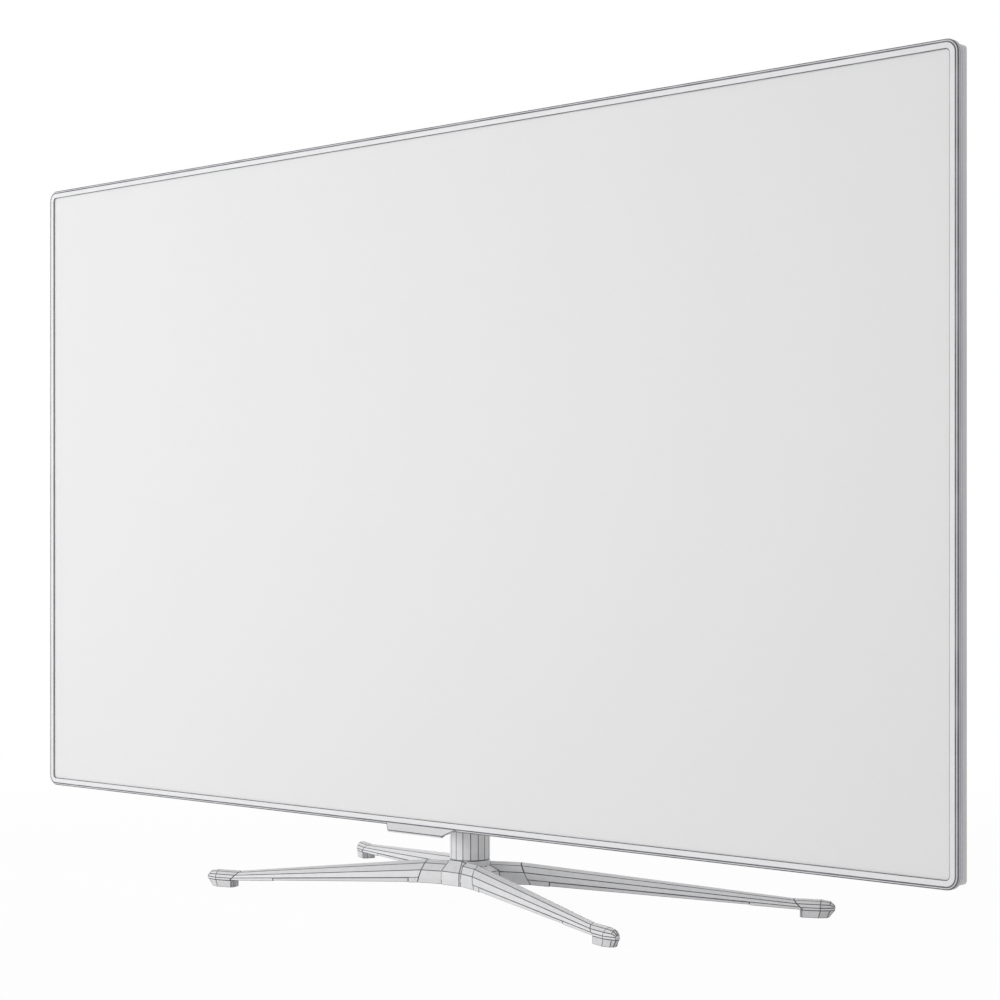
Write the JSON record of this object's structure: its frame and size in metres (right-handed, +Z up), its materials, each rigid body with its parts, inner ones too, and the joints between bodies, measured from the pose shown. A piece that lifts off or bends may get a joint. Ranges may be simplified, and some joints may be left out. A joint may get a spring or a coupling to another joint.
{
  "type": "flat screen tv",
  "caption": "Thin flat screen television with a narrow frame, a raised rear cover with plug wells, and a swivelling neck on a low stand with splayed legs.",
  "frame": {"origin": "on the floor, under the middle of the whole object's box", "axes": "+X to the right of someone facing the picture, +Y from the picture to the back, +Z up"},
  "size_m": [1.2266, 0.2782, 0.7785],
  "materials": {
    "stand_paint": "satin pale grey paint",
    "stand_plastic": "satin pale grey",
    "foot_rubber": "matt grey",
    "bright_steel": "bright",
    "bush_metal": "sintered",
    "washer_plastic": "smooth",
    "zinc_steel": "zinc plated",
    "shell_plastic": "fine texture, pale grey",
    "trim_metal": "satin",
    "panel_glass": "matt anti-glare front",
    "film_plastic": "diffuse white",
    "guide_acrylic": "clear",
    "inner_plastic": "matt",
    "green_board": "solder mask",
    "tan_board": "paper laminate",
    "sink_metal": "extruded",
    "cable_plastic": "smooth",
    "cap_plastic": "satin"
  },
  "bodies": {
    "stand_base": {"base_hub": "stand_paint", "leg_front_left": "stand_paint", "leg_front_right": "stand_paint", "leg_rear_left": "stand_paint", "leg_rear_right": "stand_paint", "leg_end_caps": "stand_plastic", "leg_bottom_covers": "stand_plastic", "rubber_feet": "foot_rubber", "leg_screws": "bright_steel", "hub_bottom_cover": "stand_plastic", "swivel_bush": "bush_metal", "swivel_stop_pin": "bright_steel", "thrust_washer": "washer_plastic"},
    "head": {"swivel_shaft": "bright_steel", "swivel_stop_plate": "bright_steel", "wave_washer": "bright_steel", "swivel_nut": "bright_steel", "neck_column": "stand_paint", "neck_bracket": "stand_paint", "neck_cap": "stand_plastic", "neck_screws": "bright_steel", "stand_bracket": "zinc_steel", "front_bezel": "shell_plastic", "bezel_trim": "trim_metal", "panel_gasket": "foot_rubber", "lcd_panel": "panel_glass", "optical_films": "film_plastic", "light_guide": "guide_acrylic", "reflector_sheet": "film_plastic", "led_bar_left": "film_plastic", "led_bar_right": "film_plastic", "mid_frame": "inner_plastic", "back_chassis": "zinc_steel", "driver_boards": "green_board", "timing_board": "green_board", "main_board": "green_board", "heatsink": "sink_metal", "power_board": "tan_board", "speaker_left": "inner_plastic", "speaker_right": "inner_plastic", "wireless_module": "green_board", "badge_tab": "shell_plastic", "sensor_housing": "inner_plastic", "sensor_board": "green_board", "rear_cover": "shell_plastic", "vesa_inserts": "zinc_steel", "jack_panel": "inner_plastic", "hdmi_sockets": "zinc_steel", "usb_sockets": "zinc_steel", "network_socket": "zinc_steel", "aerial_socket": "zinc_steel", "power_inlet": "inner_plastic", "signal_ribbon": "cable_plastic", "wiring_harness": "cable_plastic", "cover_screws": "bright_steel", "board_screws": "bright_steel", "jog_housing": "inner_plastic"},
    "jog_ring": {"jog_ring": "inner_plastic"},
    "jog_stick": {"jog_stick": "inner_plastic"},
    "jog_cap": {"jog_cap": "cap_plastic"}
  },
  "joints": [
    {"name": "neck_swivel", "type": "hinge", "parent": "stand_base", "child": "head", "pos_m": [0, -0.02885, 0.0436], "axis": [0, 0, 1], "range_deg": [-20, 20]},
    {"name": "jog_up_down", "type": "hinge", "parent": "head", "child": "jog_ring", "pos_m": [0.54, -0.08385, 0.1796], "axis": [1, 0, 0], "range_deg": [-8, 8], "stiffness_Nm_per_rad": 0.09},
    {"name": "jog_left_right", "type": "hinge", "parent": "jog_ring", "child": "jog_stick", "pos_m": [0.54, -0.08385, 0.1796], "axis": [0, 0, 1], "range_deg": [-8, 8], "stiffness_Nm_per_rad": 0.09},
    {"name": "jog_push", "type": "slide", "parent": "jog_stick", "child": "jog_cap", "axis": [0, -1, 0], "range_m": [0, 0.0008], "stiffness_N_per_m": 2500}
  ]
}
